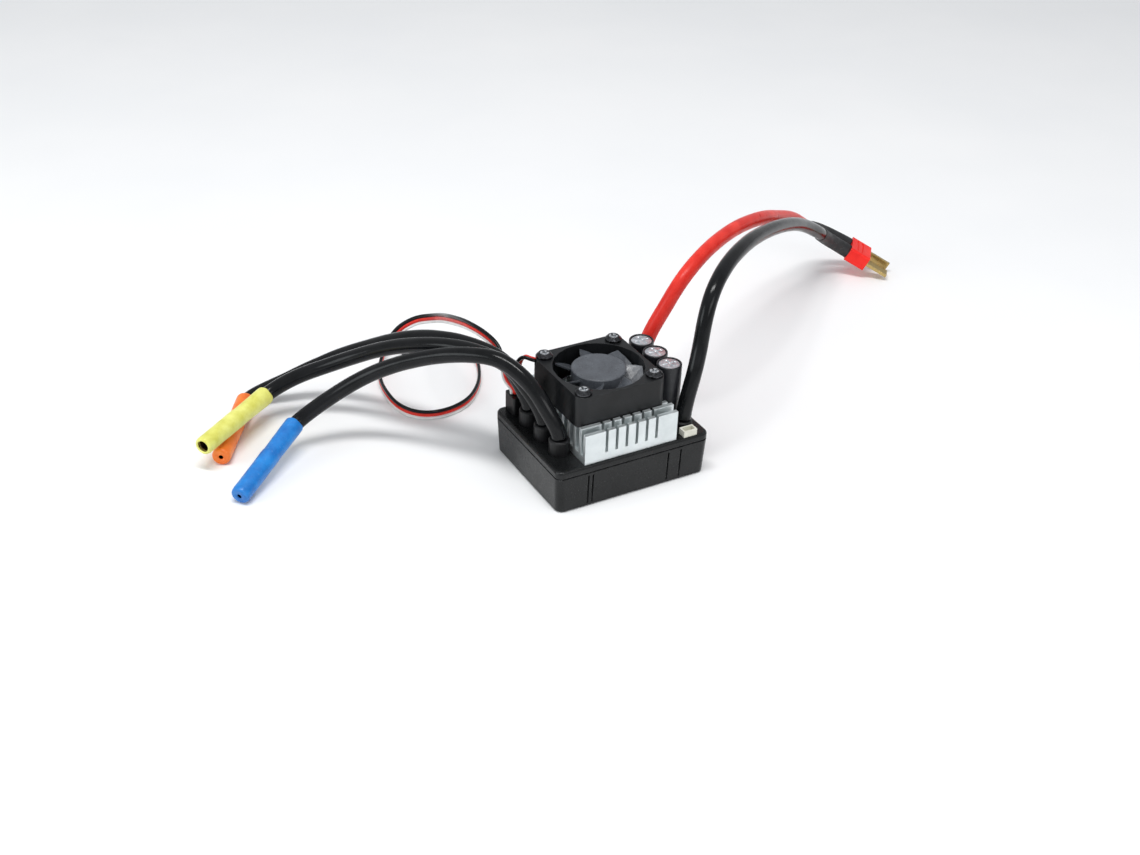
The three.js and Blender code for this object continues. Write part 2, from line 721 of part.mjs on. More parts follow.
const receiverTop = lidTop + receiverGland.height;
function receiverGlandBlock() {
  const outline = roundedRectangle(receiverGland.length, receiverGland.width, 0.8);
  const block = prism(outline, lidTop + seat, receiverTop, 3).translate(...receiverCentre, 0);
  return cut(solid(block), [receiverPassage(lidTop - 1, receiverTop - 1.4)]);
}
piece("receiver_gland", receiverGlandBlock(), materials.casePlastic);

function portSocket() {
  const [length, width, height] = portSize;
  const body = boxAt(portCentre, portSize, lidTop + seat);
  const mouth = boxAt(portCentre, [length - 1.0, width - 1.0, height], lidTop + 0.7);
  return cut(solid(body), [mouth]);
}
piece("port_socket", portSocket(), materials.creamNylon);

// ---------------------------------------------------------------- motor leads

// The part of a smooth curve through the points that lies between two lengths measured along it;
// a length of 0 or less counts back from the curve's end.
function along(points, from, to, count) {
  const path = new THREE.CatmullRomCurve3(points.map((p) => new THREE.Vector3(...p)));
  const length = path.getLength();
  const start = from < 0 ? length + from : from;
  const end = to <= 0 ? length + to : to;
  return Array.from({ length: count }, (_, i) => {
    return path.getPointAt((start + ((end - start) * i) / (count - 1)) / length).toArray();
  });
}

// A lead that leaves its start straight up, passes through the points and arrives at its end
// straight along the line towards a further point.
const straight = 1.6;
function routed(start, points, end, towards) {
  const last = new THREE.Vector3(...end);
  const back = last.clone().sub(new THREE.Vector3(...towards)).setLength(straight).add(last);
  const raised = [start[0], start[1], start[2] + straight];
  return [start, raised, ...points, back.toArray(), end];
}

// Each lead starts clear of its gland by the gap.
const motorStart = glandTop + gap;
const motorRoutes = [
  [
    [-22.3, -7.4, 26.5], [-23.7, -4.8, 30.6], [-25.5, -1.4, 34.3], [-27.5, 2.2, 37.0],
    [-30.9, 7.8, 39.5], [-35.0, 12.8, 39.4], [-39.1, 17.9, 38.2], [-43.2, 23.1, 36.2],
    [-47.4, 28.4, 33.5], [-52.7, 34.6, 29.6], [-58.5, 40.0, 25.2], [-63.7, 43.4, 21.2],
    [-69.4, 45.9, 17.0], [-75.9, 47.4, 12.7],
  ],
  [
    [-21.8, 1.3, 25.6], [-23.5, 4.0, 29.5], [-25.2, 7.3, 33.1], [-27.5, 11.2, 35.8],
    [-30.6, 15.1, 36.8], [-34.5, 20.7, 37.3], [-38.3, 26.6, 36.5], [-42.1, 32.9, 34.8],
    [-47.8, 42.9, 30.7], [-53.0, 50.8, 26.4], [-58.9, 57.5, 21.8], [-65.6, 62.6, 17.8],
    [-72.2, 66.0, 14.8], [-78.0, 67.6, 12.2],
  ],
  [
    [-21.3, 10.6, 24.6], [-22.5, 12.6, 28.2], [-23.8, 15.2, 31.4], [-25.7, 18.1, 33.7],
    [-29.8, 23.4, 35.3], [-33.8, 29.2, 35.7], [-37.6, 35.5, 34.7], [-41.3, 42.3, 32.6],
    [-45.1, 49.4, 29.3], [-48.6, 55.7, 25.6], [-53.0, 62.0, 21.5], [-57.7, 67.2, 17.9],
    [-63.4, 71.6, 13.9], [-69.4, 74.6, 10.5], [-74.8, 76.4, 7.7], [-80.5, 78.4, 5.1],
  ],
];
const sleeves = [
  {
    name: "sleeve_blue",
    material: materials.blueSleeve,
    from: [-82.8, 46.8, 8.8],
    towards: [-106.9, 26.6, 2.95],
  },
  {
    name: "sleeve_yellow",
    material: materials.yellowSleeve,
    from: [-85.2, 67.2, 9.2],
    towards: [-109.1, 49.0, 9.1],
  },
  {
    name: "sleeve_orange",
    material: materials.orangeSleeve,
    from: [-88.6, 76.4, 3.2],
    towards: [-105.3, 49.1, 2.95],
  },
];
const leadSides = 10;
const leadSteps = 18;

motorRoutes.forEach((route, i) => {
  const { name, material, from, towards } = sleeves[i];
  const points = routed([...motorGlands[i], motorStart], route, from, towards);
  piece(`motor_wire_${i + 1}`, cord(points, wireDiameter, leadSteps, leadSides), materials.blackSilicone);

  const holder = aimed(from, towards);
  const bore = bulletDiameter / 2 + gap;
  const tube = turned([
    [0, gap], [sleeveDiameter / 2 - 0.4, gap], [sleeveDiameter / 2, gap + 0.6],
    [sleeveDiameter / 2, sleeveLength], [bore, sleeveLength], [bore, sleeveLength - sleeveBore],
    [0, sleeveLength - sleeveBore],
  ], 0, 0, 20);
  piece(name, tube, material, holder);
  const bulletBack = sleeveLength - sleeveBore + gap;
  const bulletFront = sleeveLength - bulletRecess;
  const bullet = turned([
    [0, bulletBack], [bulletDiameter / 2, bulletBack], [bulletDiameter / 2, bulletFront],
    [bulletBore / 2, bulletFront], [bulletBore / 2, bulletBack + 2], [0, bulletBack + 2],
  ], 0, 0, 20);
  piece(`bullet_socket_${i + 1}`, bullet, materials.brass, holder);
});

// ---------------------------------------------------------------- battery leads and plug

const batteryStart = lidTop + batteryGlandHeight + gap;
const plugRear = [152.9, 73.5, 9.9];
const plugAim = [164.8, 63.25, 2.07];
const batteryLeads = [
  {
    pole: "negative",
    material: materials.blackSilicone,
    route: [
      [22.8, -12.4, 24.0], [25.2, -11.5, 31.0], [28.0, -9.3, 37.5], [29.9, -8.0, 46.0],
      [33.9, -5.1, 53.0], [41.7, 0.5, 57.0], [55.9, 11.0, 57.0], [77.7, 27.8, 51.0],
      [102.2, 46.2, 41.0], [117.1, 56.7, 33.0], [130.2, 64.2, 24.5], [136.7, 69.5, 19.7],
      [142.4, 72.4, 15.7],
    ],
    end: [150.9, 71.2, 9.9],
  },
  {
    pole: "positive",
    material: materials.redSilicone,
    route: [
      [24.9, 16.4, 26.5], [26.4, 15.8, 31.5], [30.6, 15.5, 38.5], [36.3, 15.6, 47.0],
      [47.2, 20.3, 52.0], [64.4, 30.1, 52.5], [85.4, 43.3, 47.5], [102.5, 55.3, 40.0],
      [117.5, 65.2, 32.5], [131.0, 72.8, 23.3], [138.1, 76.9, 19.5], [144.5, 78.8, 16.0],
    ],
    end: [154.9, 75.8, 9.9],
  },
];
const shrinkSteps = 9;
const shrinkSamples = 24;
const wireSamples = 90;
const plugHeading = new THREE.Vector3(...plugAim).sub(new THREE.Vector3(...plugRear));
batteryLeads.forEach(({ pole, material, route, end }, i) => {
  const start = [...batteryGlands[i], batteryStart];
  const towards = plugHeading.clone().add(new THREE.Vector3(...end)).toArray();
  const points = routed(start, route, end, towards);
  const wire = along(points, 0, -shrinkLength - gap, wireSamples);
  piece(`battery_wire_${pole}`, cord(wire, wireDiameter, 26, leadSides), material);
  const covered = along(points, -shrinkLength, 0, shrinkSamples);
  const shrink = cord(covered, shrinkDiameter, shrinkSteps, leadSides);
  piece(`plug_shrink_${pole}`, shrink, materials.blackSilicone);
});

// The plug lies with the tips of its blades on the ground.
const plug = aimed(plugRear, plugAim);

function plugBody() {
  const body = prism(roundedRectangle(plugWidth, plugThickness, 0.8), gap, plugLength, 3);
  const long = bladeWidth + 2 * gap;
  const short = bladeThickness + 2 * gap;
  const slots = [
    boxAt([-contactSpacing / 2, 0], [long, short, 10], plugLength - 3),
    boxAt([contactSpacing / 2, 0], [short, long, 10], plugLength - 3),
  ];
  const grips = [-1, 1].flatMap((side) => [2.4, 4.4].map((z) => {
    return boxAt([0, (side * plugThickness) / 2], [plugWidth - 3, 0.8, 0.8], z);
  }));
  return cut(solid(body), [...slots, ...grips]);
}
piece("battery_plug", plugBody(), materials.redNylon, plug);

// The negative blade lies across the plug's width, the positive one stands on edge.
const bladeBack = plugLength - 3 + gap;
const bladeReach = bladeLength + plugLength - bladeBack;
const flatBlade = boxAt([-contactSpacing / 2, 0], [bladeWidth, bladeThickness, bladeReach], bladeBack);
const edgeBlade = boxAt([contactSpacing / 2, 0], [bladeThickness, bladeWidth, bladeReach], bladeBack);
piece("plug_blade_negative", flatBlade, materials.brass, plug);
piece("plug_blade_positive", edgeBlade, materials.brass, plug);

// ---------------------------------------------------------------- receiver lead and fan leads

const receiverStart = [receiverCentre[0] - 0.4, receiverCentre[1] - 0.55, receiverTop + gap];
const receiverPoints = [
  [-23.2, 18.0, 25.0], [-23.2, 21.3, 29.7], [-23.0, 25.4, 33.0], [-24.3, 30.6, 34.6],
  [-25.8, 38.9, 34.4], [-25.0, 53.9, 29.3], [-21.2, 78.5, 17.2], [-24.2, 86.1, 13.2],
  [-28.6, 89.7, 9.0], [-33.2, 89.3, 4.4], [-38.8, 82.3, 2.2], [-43.0, 73.1, 1.8],
  [-44.8, 63.8, 1.8], [-44.5, 53.8, 1.8], [-41.8, 47.9, 1.8], [-37.6, 44.8, 1.8],
  [-30.7, 44.2, 1.8], [-22.8, 47.2, 1.8], [-14.9, 55.6, 1.8], [-9.3, 67.8, 1.8],
  [-8.0, 75.0, 1.8], [-10.5, 80.5, 1.8],
];
const receiverEnd = [-15.5, 83.2, 1.8];
const receiverAim = [-29.0, 86.9, 1.8];
const receiverRoute = routed(receiverStart, receiverPoints, receiverEnd, receiverAim);
piece("receiver_lead", cord(receiverRoute, leadDiameter, 50, 8), materials.blackSilicone);

function receiverPlug() {
  const [length, width, height] = receiverPlugSize;
  const body = prism(roundedRectangle(width, height, 0.3), gap, length, 2);
  const pitch = 2.54;
  const sockets = [-1, 0, 1].map((i) => boxAt([i * pitch, 0], [1.2, 1.2, 9], length - 8));
  return cut(solid(body), sockets);
}
const plugAxisZ = receiverPlugSize[2] / 2;
const level = ([x, y]) => [x, y, plugAxisZ];
const receiverHolder = aimed(level(receiverEnd), level(receiverAim));
piece("receiver_plug", receiverPlug(), materials.blackSilicone, receiverHolder);

const notchX = fanX - fanSize / 2 + 0.9;
const notchY = fanY + fanSize / 2;
const leadExitZ = fanTop - 1.35;
const fanLeads = {
  fan_lead_red: [
    [notchX, notchY - 1.1, leadExitZ], [-17.6, 14.0, 33.7], [-18.4, 15.3, 33.8], [-18.9, 16.9, 32.0],
    [-19.1, 18.2, 28.5], [-19.5, 19.0, 24.5], [-19.8, 19.2, receiverTop + gap],
  ],
  fan_lead_black: [
    [notchX, notchY - 2.5, leadExitZ], [-18.0, 12.6, 33.9], [-19.6, 14.2, 34.3], [-20.3, 16.2, 32.6],
    [-20.5, 17.9, 29.2], [-20.9, 19.0, 24.8], [-21.3, 19.2, receiverTop + gap],
  ],
};
const fanLeadMaterials = { fan_lead_red: materials.redSilicone, fan_lead_black: materials.blackSilicone };
for (const [name, route] of Object.entries(fanLeads)) {
  piece(name, cord(route, fanLeadDiameter, 14, 8), fanLeadMaterials[name]);
}

export default device;
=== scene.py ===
"""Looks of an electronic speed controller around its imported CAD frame, in metres."""

import json
import math

import bmesh
import bpy
from mathutils import Matrix, Vector, noise


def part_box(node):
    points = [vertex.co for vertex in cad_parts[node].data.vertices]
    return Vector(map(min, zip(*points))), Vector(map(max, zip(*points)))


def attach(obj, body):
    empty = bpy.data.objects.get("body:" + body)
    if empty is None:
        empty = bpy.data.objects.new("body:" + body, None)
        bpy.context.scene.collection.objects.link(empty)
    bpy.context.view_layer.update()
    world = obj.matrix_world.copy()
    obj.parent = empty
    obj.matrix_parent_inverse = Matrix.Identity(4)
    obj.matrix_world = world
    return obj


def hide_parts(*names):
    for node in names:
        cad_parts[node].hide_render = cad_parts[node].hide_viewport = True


MM = 0.001

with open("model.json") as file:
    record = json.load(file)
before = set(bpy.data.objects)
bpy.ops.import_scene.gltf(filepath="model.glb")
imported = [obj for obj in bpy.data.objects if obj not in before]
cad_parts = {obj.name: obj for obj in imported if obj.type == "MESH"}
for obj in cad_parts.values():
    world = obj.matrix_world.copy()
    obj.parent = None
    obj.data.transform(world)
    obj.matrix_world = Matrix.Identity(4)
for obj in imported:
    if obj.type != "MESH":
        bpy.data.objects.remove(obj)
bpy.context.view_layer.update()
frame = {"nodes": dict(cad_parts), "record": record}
nodes = frame["nodes"]


# ---- camera ----

CAMERA_PLACE = (-0.20176, -0.33228, 0.2556)
CAMERA_TURN = (-29.86, 32.14, 1.82)  # azimuth, elevation and roll in degrees
CAMERA_LENS = 47.07
CAMERA_SENSOR = 36
CAMERA_NEAR = 0.01


def add_camera():
    """Looks at the object from the photo's side, rolled a little as the photo is."""
    azimuth, elevation, roll = (math.radians(a) for a in CAMERA_TURN)
    back = Vector((
        math.sin(azimuth) * math.cos(elevation),
        -math.cos(azimuth) * math.cos(elevation),
        math.sin(elevation),
    ))
    level = Vector((math.cos(azimuth), math.sin(azimuth), 0))
    rise = back.cross(level)
    right = math.cos(roll) * level + math.sin(roll) * rise
    up = math.cos(roll) * rise - math.sin(roll) * level
    data = bpy.data.cameras.new("camera")
    data.sensor_width = CAMERA_SENSOR
    data.lens = CAMERA_LENS
    data.clip_start = CAMERA_NEAR
    camera = bpy.data.objects.new("camera", data)
    camera.matrix_world = (
        Matrix.Translation(CAMERA_PLACE)
        @ Matrix((right, up, back)).transposed().to_4x4()
    )
    bpy.context.scene.collection.objects.link(camera)
    bpy.context.scene.camera = camera


add_camera()


# ---- node materials ----

BEVEL_SAMPLES = 6
WEAR_START = 0.985  # how well the rounded and the true normal agree where an edge starts to wear
WEAR_FULL = 0.9


class Look:
    """A Principled material, with short calls for the nodes that feed it."""

    def __init__(self, name, **constants):
        self.material = bpy.data.materials.new(name)
        self.material.use_nodes = True
        self.tree = self.material.node_tree
        self.shader = self.tree.nodes["Principled BSDF"]
        self.place = self.node("ShaderNodeTexCoord").outputs["Object"]
        for socket, value in constants.items():
            self.shader.inputs[socket.replace("_", " ")].default_value = value

    def node(self, kind, **settings):
        made = self.tree.nodes.new(kind)
        for name, value in settings.items():
            setattr(made, name, value)
        return made

    def put(self, socket, value):
        """Links an output to the socket, or sets the socket to a constant."""
        if isinstance(value, bpy.types.NodeSocket):
            self.tree.links.new(value, socket)
        else:
            socket.default_value = value

    def stretched(self, scale):
        """Object coordinates, scaled along each axis."""
        mapping = self.node("ShaderNodeMapping")
        self.put(mapping.inputs["Vector"], self.place)
        mapping.inputs["Scale"].default_value = scale
        return mapping.outputs["Vector"]

    def grain(self, size, detail=3.0, rough=0.55, stretch=(1, 1, 1)):
        """Noise from 0 to 1, its blotches about `size` mm across."""
        made = self.node("ShaderNodeTexNoise")
        self.put(made.inputs["Vector"], self.stretched(stretch))
        made.inputs["Scale"].default_value = 1 / (size * MM)
        made.inputs["Detail"].default_value = detail
        made.inputs["Roughness"].default_value = rough
        return made.outputs["Fac"]

    def span(self, value, low, high, start=0.0, end=1.0):
        """Carries the range low to high over to start to end, and stops at both."""
        made = self.node("ShaderNodeMapRange")
        self.put(made.inputs["Value"], value)
        for socket, number in (
            ("From Min", low), ("From Max", high), ("To Min", start), ("To Max", end)
        ):
            made.inputs[socket].default_value = number
        return made.outputs["Result"]

    def math(self, operation, a, b=0.0, c=0.0):
        made = self.node("ShaderNodeMath", operation=operation)
        for socket, value in zip(made.inputs, (a, b, c)):
            self.put(socket, value)
        return made.outputs["Value"]

    def mix(self, share, a, b):
        """Colour a where share is 0, colour b where it is 1."""
        made = self.node("ShaderNodeMix", data_type="RGBA")
        self.put(made.inputs["Factor"], share)
        colour_inputs, colour_output = made.inputs[6:8], made.outputs[2]
        for socket, colour in zip(colour_inputs, (a, b)):
            linked = isinstance(colour, bpy.types.NodeSocket)
            self.put(socket, colour if linked else (*colour, 1))
        return colour_output

    def rounded(self, radius):
        """The normal as if edges were rounded by `radius` mm."""
        made = self.node("ShaderNodeBevel", samples=BEVEL_SAMPLES)
        made.inputs["Radius"].default_value = radius * MM
        return made.outputs["Normal"]

    def edges(self, radius, full=WEAR_FULL):
        """1 along outer and inner edges within `radius` mm, 0 on open faces."""
        facing = self.node("ShaderNodeNewGeometry").outputs["Normal"]
        dot = self.node("ShaderNodeVectorMath", operation="DOT_PRODUCT")
        self.put(dot.inputs[0], self.rounded(radius))
        self.put(dot.inputs[1], facing)
        return self.span(dot.outputs["Value"], WEAR_START, full)

    def bump(self, height, depth, radius=0.0):
        """Raises the surface by `height` times `depth` mm, over edges rounded by `radius` mm."""
        made = self.node("ShaderNodeBump")
        made.inputs["Strength"].default_value = 1.0
        made.inputs["Distance"].default_value = depth * MM
        self.put(made.inputs["Height"], height)
        if radius:
            self.put(made.inputs["Normal"], self.rounded(radius))
        self.put(self.shader.inputs["Normal"], made.outputs["Normal"])

    def colour(self, value):
        self.put(self.shader.inputs["Base Color"], value)

    def roughness(self, value):
        self.put(self.shader.inputs["Roughness"], value)


MOULDED_EDGE = 0.3  # radii of rounded edges, mm
METAL_EDGE = 0.15
RUBBED_BLACK = (0.06, 0.062, 0.066)


def moulded(name, dark, light, smooth, rough, grain=0.35, rub=RUBBED_BLACK):
    """Satin moulded plastic: fine spark-eroded grain, cloudy sheen and rubbed edges."""
    look = Look(name, Specular_IOR_Level=0.28)
    cloud = look.grain(9, 4)
    fine = look.grain(grain, 3, 0.6)
    body = look.mix(look.span(cloud, 0.35, 0.68), dark, light)
    patches = look.span(look.grain(2.2), 0.42, 0.66)
    worn = look.math("MULTIPLY", look.edges(MOULDED_EDGE), patches)
    look.colour(look.mix(look.math("MULTIPLY", worn, 0.7), body, rub))
    sheen = look.span(look.grain(4, 5, 0.6), 0.3, 0.7, smooth, rough)
    look.roughness(look.math("ADD", sheen, look.span(fine, 0.3, 0.7, -0.03, 0.03)))
    look.bump(fine, 0.018, MOULDED_EDGE)
    return look.material


def silicone(name, dark, light, smooth=0.13, rough=0.24):
    """Soft glossy silicone rubber: faint handling marks and a slightly lumpy jacket."""
    look = Look(name, Specular_IOR_Level=0.2)
    cloud = look.grain(7, 4)
    fine = look.grain(0.5, 3)
    dust = look.span(look.grain(0.28, 2, 0.7), 0.7, 0.78)
    body = look.mix(look.span(cloud, 0.35, 0.68), dark, light)
    pale = tuple(0.6 * c + 0.12 for c in light)
    look.colour(look.mix(look.math("MULTIPLY", dust, 0.35), body, pale))
    marks = look.span(look.grain(2.5, 5, 0.65), 0.32, 0.7, smooth, rough)
    look.roughness(look.math("ADD", marks, look.math("MULTIPLY", dust, 0.2)))
    lumps = look.math("ADD", look.grain(4.5, 2), look.math("MULTIPLY", fine, 0.08))
    look.bump(lumps, 0.035)
    return look.material


def shrink_tube(name, dark, light, smooth=0.3, rough=0.5):
    """Thin heat-shrunk film: fine puckers and patches where it has gone glossy."""
    look = Look(name, Specular_IOR_Level=0.5)
    patches = look.span(look.grain(5, 4, 0.6), 0.32, 0.68)
    body = look.mix(patches, dark, light)
    scuffs = look.math("MULTIPLY", look.span(look.grain(1.1, 5, 0.75), 0.6, 0.74), 0.3)
    pale = tuple(0.55 * c + 0.35 for c in light)
    look.colour(look.mix(scuffs, body, pale))
    look.roughness(look.span(look.grain(2.4, 4), 0.3, 0.7, smooth, rough))
    puckers = look.math("ADD", look.grain(2.2, 3), look.math("MULTIPLY", look.grain(0.45), 0.3))
    look.bump(puckers, 0.09)
    return look.material


def metal(name, dark, light, smooth, rough, stretch=(1, 1, 1), size=0.5, depth=0.012):
    """Metal with fine directional marks, stains and edges polished by handling."""
    look = Look(name, Metallic=1.0)
    lines = look.grain(size, 4, 0.6, stretch)
    stains = look.span(look.grain(6, 5, 0.6), 0.3, 0.7)
    marks = look.math("MULTIPLY_ADD", lines, 0.5, look.math("MULTIPLY", stains, 0.5))
    body = look.mix(marks, dark, light)
    shine = look.math("MULTIPLY", look.edges(METAL_EDGE), 0.6)
    polished = tuple(min(1.0, 1.12 * c) for c in light)
    look.colour(look.mix(shine, body, polished))
    sheen = look.span(lines, 0.25, 0.75, smooth, rough)
    look.roughness(look.math("SUBTRACT", sheen, look.math("MULTIPLY", shine, 0.12)))
    look.bump(lines, depth, METAL_EDGE)
    return look.material


def rotor_plastic():
    """Glossy dark moulding: cloudy, with pale flecks and rubbed blade edges."""
    look = Look("rotor_plastic", Specular_IOR_Level=0.5)
    cloud = look.span(look.grain(3, 5, 0.6), 0.35, 0.7)
    flecks = look.span(look.grain(0.45, 3, 0.8), 0.58, 0.7)
    body = look.mix(cloud, (0.055, 0.06, 0.07), (0.085, 0.094, 0.108))
    spotted = look.mix(look.math("MULTIPLY", flecks, 0.55), body, (0.24, 0.26, 0.29))
    rim = look.edges(0.3, full=0.85)
    look.colour(look.mix(look.math("MULTIPLY", rim, 0.4), spotted, (0.12, 0.13, 0.14)))
    look.roughness(look.span(look.grain(1.2, 4), 0.3, 0.7, 0.26, 0.44))
    look.bump(look.grain(0.4, 3), 0.03, 0.25)
    return look.material


def can_top():
    """Drawn aluminium: a mottled bright skin, scratched and dulled in patches."""
    look = Look("can_aluminium", Metallic=1.0)
    mottle = look.span(look.grain(1.1, 5, 0.7), 0.38, 0.64)
    look.colour(look.mix(mottle, (0.5, 0.54, 0.58), (0.92, 0.94, 0.97)))
    look.roughness(look.span(look.grain(0.7, 4), 0.3, 0.7, 0.34, 0.5))
    look.bump(look.grain(0.5, 4), 0.02, 0.12)
    return look.material


def screw_steel():
    """Black-oxide steel, with a painted highlight: a bright patch painted in the middle of each of
    the four heads, where the light would catch the recess.

    The heads stand on a square, so one quarter of it, mirrored, gives the distance to the
    nearest head's axis.
    """
    look = Look("black_steel", Metallic=1.0)
    split = look.node("ShaderNodeSeparateXYZ")
    look.put(split.inputs[0], look.place)
    corners = [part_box(f"fan_screw_{i}") for i in (1, 2, 3, 4)]
    middles = [(low + high) / 2 for low, high in corners]
    centre = sum(middles, Vector()) / 4
    away = []
    for axis in (0, 1):
        reach = abs(middles[0][axis] - centre[axis])
        offset = look.math("ABSOLUTE", look.math("SUBTRACT", split.outputs[axis], centre[axis]))
        away.append(look.math("POWER", look.math("SUBTRACT", offset, reach), 2.0))
    radius = look.math("SQRT", look.math("ADD", *away))
    # Painted highlight: near each head's axis the colour turns a bright pale grey, painted in as
    # the light's reflection.
    painted_highlight = look.span(radius, 1.5 * MM, 1.15 * MM)
    patchy_painted_highlight = look.math("MULTIPLY", painted_highlight, look.span(look.grain(0.9, 4), 0.3, 0.5, 0.6, 1.0))
    stains = look.span(look.grain(0.8, 4), 0.35, 0.65)
    oxide = look.mix(stains, (0.03, 0.03, 0.032), (0.08, 0.082, 0.088))
    look.colour(look.mix(patchy_painted_highlight, oxide, (0.86, 0.88, 0.9)))
    look.roughness(look.span(look.grain(0.5, 4), 0.3, 0.7, 0.14, 0.3))
    look.bump(look.grain(0.3, 3), 0.008, 0.12)
    return look.material


TRACE_PITCH = 1 / 420  # metres


def circuit_board():
    """Green solder mask with paler copper traces beneath it."""
    look = Look("board", Specular_IOR_Level=0.5)
    voronoi = look.node("ShaderNodeTexVoronoi", feature="DISTANCE_TO_EDGE", distance="MANHATTAN")
    look.put(voronoi.inputs["Vector"], look.place)
    voronoi.inputs["Scale"].default_value = 1 / TRACE_PITCH
    traces = look.span(voronoi.outputs["Distance"], 0.06, 0.1)
    look.colour(look.mix(traces, (0.05, 0.22, 0.08), (0.01, 0.085, 0.03)))
    look.roughness(look.span(look.grain(2), 0.3, 0.7, 0.3, 0.42))
    look.bump(traces, -0.03)
    return look.material


def floor_material():
    """Matt pale paper with broad, faint tints."""
    look = Look("pale_floor", Specular_IOR_Level=0.2)
    tint = look.span(look.grain(120, 3), 0.35, 0.7)
    look.colour(look.mix(tint, (0.9, 0.905, 0.91), (0.93, 0.93, 0.93)))
    look.roughness(look.span(look.grain(40, 4), 0.3, 0.7, 0.55, 0.68))
    look.bump(look.grain(1.5, 3), 0.01)
    return look.material


black_rubber = moulded(
    "gland_rubber", (0.006, 0.006, 0.0065), (0.012, 0.012, 0.013), 0.3, 0.46, grain=0.5
)
connector_black = moulded("connector_black", (0.01, 0.01, 0.011), (0.02, 0.02, 0.022), 0.34, 0.48)
black_jacket = silicone("black_silicone", (0.004, 0.0045, 0.005), (0.009, 0.0095, 0.0105))
red_jacket = silicone("red_silicone", (0.62, 0.02, 0.014), (0.8, 0.05, 0.034), 0.26, 0.4)
white_jacket = silicone("white_pvc", (0.72, 0.72, 0.71), (0.86, 0.86, 0.85), 0.34, 0.46)
blue_film = shrink_tube("blue_sleeve", (0.004, 0.13, 0.46), (0.012, 0.24, 0.68))
yellow_film = shrink_tube("yellow_sleeve", (0.66, 0.64, 0.1), (0.84, 0.84, 0.24))
orange_film = shrink_tube("orange_sleeve", (0.82, 0.15, 0.01), (0.96, 0.26, 0.03))
black_film = shrink_tube("black_film", (0.006, 0.006, 0.007), (0.014, 0.014, 0.016), 0.5, 0.66)

SLOT_LOOKS = {
    "case_plastic": moulded(
        "case_plastic", (0.005, 0.0055, 0.0058), (0.01, 0.0106, 0.011), 0.22, 0.34
    ),
    "fan_plastic": moulded(
        "fan_plastic", (0.006, 0.0065, 0.007), (0.012, 0.013, 0.0145), 0.28, 0.42
    ),
    "rotor_plastic": rotor_plastic(),
    "sink_aluminium": metal(
        "sink_aluminium", (0.6, 0.645, 0.65), (0.84, 0.88, 0.885), 0.38, 0.58,
        stretch=(0.06, 1, 1), size=0.3, depth=0.01,
    ),
    "board": circuit_board(),
    "chip": moulded("chip", (0.012, 0.012, 0.013), (0.022, 0.022, 0.024), 0.4, 0.55),
    "thermal_pad": moulded("thermal_pad", (0.3, 0.32, 0.34), (0.42, 0.44, 0.46), 0.6, 0.8),
    "steel": metal("steel", (0.5, 0.5, 0.51), (0.68, 0.68, 0.7), 0.2, 0.36),
    "copper": metal("copper", (0.62, 0.24, 0.12), (0.85, 0.42, 0.24), 0.25, 0.4, size=0.3),
    "brass": metal("brass", (0.4, 0.28, 0.1), (0.68, 0.52, 0.22), 0.22, 0.4, size=0.4),
    "black_steel": screw_steel(),
    "black_silicone": black_jacket,
    "red_silicone": red_jacket,
    "blue_sleeve": blue_film,
    "orange_sleeve": orange_film,
    "yellow_sleeve": yellow_film,
    "red_nylon": moulded(
        "red_nylon", (0.8, 0.012, 0.008), (0.94, 0.03, 0.018), 0.28, 0.42,
        rub=(0.98, 0.2, 0.15),
    ),
    "can_aluminium": can_top(),
    "can_sleeve": shrink_tube("can_sleeve", (0.007, 0.0075, 0.01), (0.016, 0.017, 0.021)),
    "seal_rubber": black_rubber,
    "cream_nylon": moulded(
        "cream_nylon", (0.66, 0.65, 0.56), (0.8, 0.79, 0.7), 0.34, 0.5, rub=(0.9, 0.9, 0.84)
    ),
}


def dress_nodes():
    """Gives every CAD node the material of its slot, or its own where it differs."""
    slots = {s["node"]: s["material_slot"] for s in frame["record"]["subparts"]}
    own = {"receiver_plug": connector_black}
    for name in nodes:
        if "gland" in name:
            own[name] = black_rubber
    for name, node in nodes.items():
        node.data.materials.clear()
        node.data.materials.append(own.get(name) or SLOT_LOOKS[slots[name]])


dress_nodes()


# ---- lines and swept shapes ----

CURVE_STEPS = 24  # points on each stretch of a Catmull-Rom line


def spline(points, spacing=0.35, ease=2.6):
    """A centripetal Catmull-Rom line through points in mm, as evenly spaced points in metres.

    Kinks shorter than about `ease` mm are smoothed away.
    """
    p = [Vector(q) for q in points]
    p = [2 * p[0] - p[1], *p, 2 * p[-1] - p[-2]]
    line = []
    for before, here, there, after in zip(p, p[1:], p[2:], p[3:]):
        a, b, c = (
            math.sqrt((to - since).length)
            for since, to in ((before, here), (here, there), (there, after))
        )
        chord = there - here
        leave = ((here - before) / a - (there - before) / (a + b) + chord / b) * b
        reach = (chord / b - (after - here) / (b + c) + (after - there) / c) * b
        for step in range(CURVE_STEPS):
            t = step / CURVE_STEPS
            line.append(
                here
                + leave * t
                + (3 * chord - 2 * leave - reach) * t ** 2
                + (leave + reach - 2 * chord) * t ** 3
            )
    line.append(p[-2])
    passes = round(2 * (ease / spacing) ** 2)
    return relaxed(even([q * MM for q in line], spacing * MM), passes)


def relaxed(line, passes):
    """The same line with its small kinks eased out, as a springy lead lies; its ends stay."""
    for _ in range(passes):
        eased = [(a + 2 * b + c) / 4 for a, b, c in zip(line, line[1:], line[2:])]
        line = [line[0], *eased, line[-1]]
    return line


